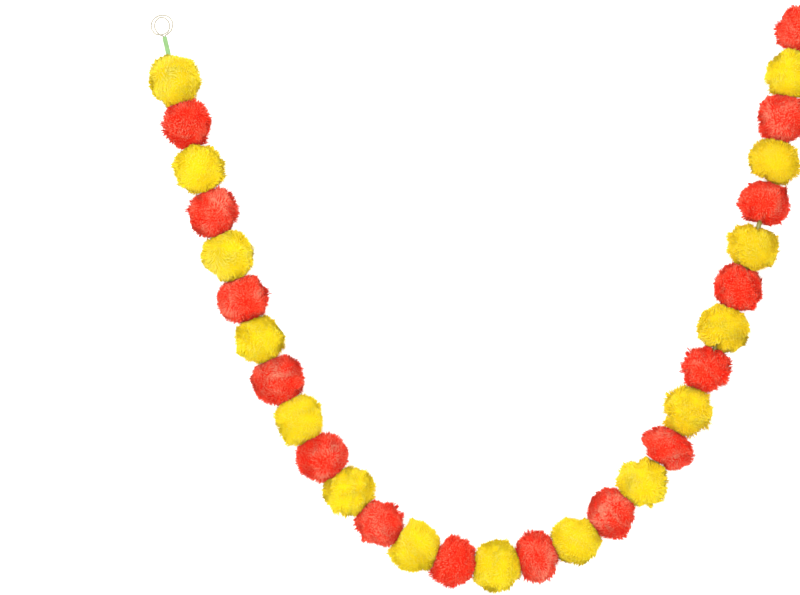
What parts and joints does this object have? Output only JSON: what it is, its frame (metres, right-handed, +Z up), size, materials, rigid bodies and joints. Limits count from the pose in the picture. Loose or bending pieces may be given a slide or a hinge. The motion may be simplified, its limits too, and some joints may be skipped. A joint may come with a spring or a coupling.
{
  "type": "marigold garland",
  "caption": "Artificial marigold garland: ruffled yellow and orange-red fabric blooms strung on a cord over green spacer tubes, with a doubled hanging loop at each end, laid in an open swag.",
  "frame": {"origin": "on the surface that the garland lies on, under the middle of its bounding box, which is measured without the two hanging loops", "axes": "+Z up from that surface; +X from the arm of the first bloom to the arm of the last bloom, across the swag; +Y along both arms, from the bottom of the swag to its open ends"},
  "size_m": [0.7708, 0.7156, 0.0589],
  "materials": {
    "yellow_fabric": "matte",
    "red_fabric": "matte",
    "green_tube": "satin",
    "white_cord": "matte"
  },
  "bodies": {
    "root": {"bloom_01_yellow": "yellow_fabric", "bloom_02_red": "red_fabric", "bloom_03_yellow": "yellow_fabric", "bloom_04_red": "red_fabric", "bloom_05_yellow": "yellow_fabric", "bloom_06_red": "red_fabric", "bloom_07_yellow": "yellow_fabric", "bloom_08_red": "red_fabric", "bloom_09_yellow": "yellow_fabric", "bloom_10_red": "red_fabric", "bloom_11_yellow": "yellow_fabric", "bloom_12_red": "red_fabric", "bloom_13_yellow": "yellow_fabric", "bloom_14_red": "red_fabric", "bloom_15_yellow": "yellow_fabric", "bloom_16_red": "red_fabric", "bloom_17_yellow": "yellow_fabric", "bloom_18_red": "red_fabric", "bloom_19_yellow": "yellow_fabric", "bloom_20_red": "red_fabric", "bloom_21_yellow": "yellow_fabric", "bloom_22_red": "red_fabric", "bloom_23_yellow": "yellow_fabric", "bloom_24_red": "red_fabric", "bloom_25_yellow": "yellow_fabric", "bloom_26_red": "red_fabric", "bloom_27_yellow": "yellow_fabric", "bloom_28_red": "red_fabric", "bloom_29_yellow": "yellow_fabric", "bloom_30_red": "red_fabric", "cord_with_spacer_tubes": "green_tube", "end_tube_first": "green_tube", "end_tube_last": "green_tube", "hanging_loop_first": "white_cord", "hanging_loop_last": "white_cord"}
  },
  "joints": []
}
